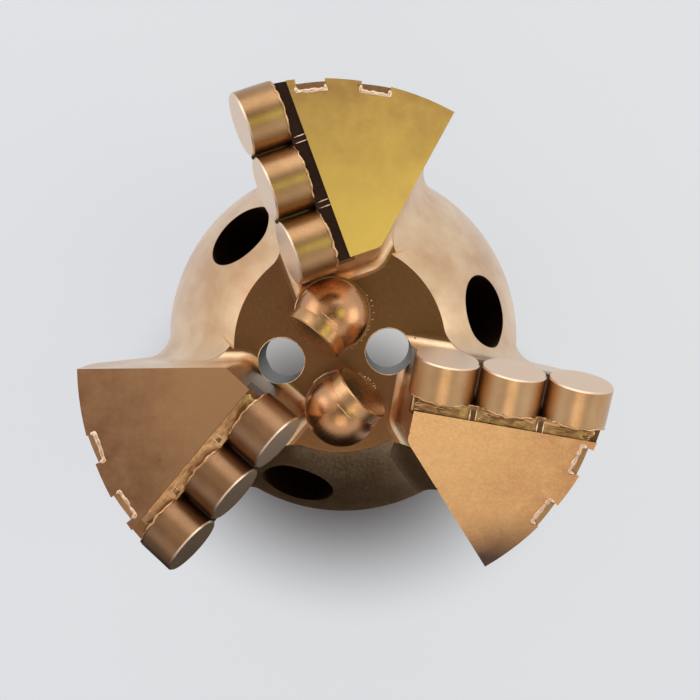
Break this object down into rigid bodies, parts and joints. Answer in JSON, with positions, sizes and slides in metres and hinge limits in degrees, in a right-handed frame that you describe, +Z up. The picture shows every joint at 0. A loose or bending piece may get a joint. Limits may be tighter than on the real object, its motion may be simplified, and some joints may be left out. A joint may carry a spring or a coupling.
{
  "type": "pdc drill bit",
  "caption": "Winged concave core-breaking rotary drill bit with round disc cutters, domed studs in its recess, flank nozzles and a hollow pin.",
  "frame": {"origin": "centre of the pin's end face, on the bit's axis", "axes": "+Z up the axis from the pin to the cutters, +X out along the first wing's row of cutters"},
  "size_m": [0.1093, 0.1051, 0.1224],
  "materials": {
    "crown": "satin bronze lacquer over turned and milled steel",
    "cutter": "satin bronze lacquer over ground carbide and a diamond face",
    "gauge_insert": "satin bronze lacquer over ground carbide",
    "centre_stud": "satin bronze lacquer over turned steel"
  },
  "bodies": {
    "root": {"crown_body": "crown", "wing_1_cutter_1": "cutter", "wing_1_cutter_2": "cutter", "wing_1_cutter_3": "cutter", "wing_1_gauge_insert_1": "gauge_insert", "wing_1_gauge_insert_2": "gauge_insert", "wing_2_cutter_1": "cutter", "wing_2_cutter_2": "cutter", "wing_2_cutter_3": "cutter", "wing_2_gauge_insert_1": "gauge_insert", "wing_2_gauge_insert_2": "gauge_insert", "wing_3_cutter_1": "cutter", "wing_3_cutter_2": "cutter", "wing_3_cutter_3": "cutter", "wing_3_gauge_insert_1": "gauge_insert", "wing_3_gauge_insert_2": "gauge_insert", "centre_stud_1": "centre_stud", "centre_stud_2": "centre_stud", "stud_cutter_1": "cutter", "stud_cutter_2": "cutter"}
  },
  "joints": []
}
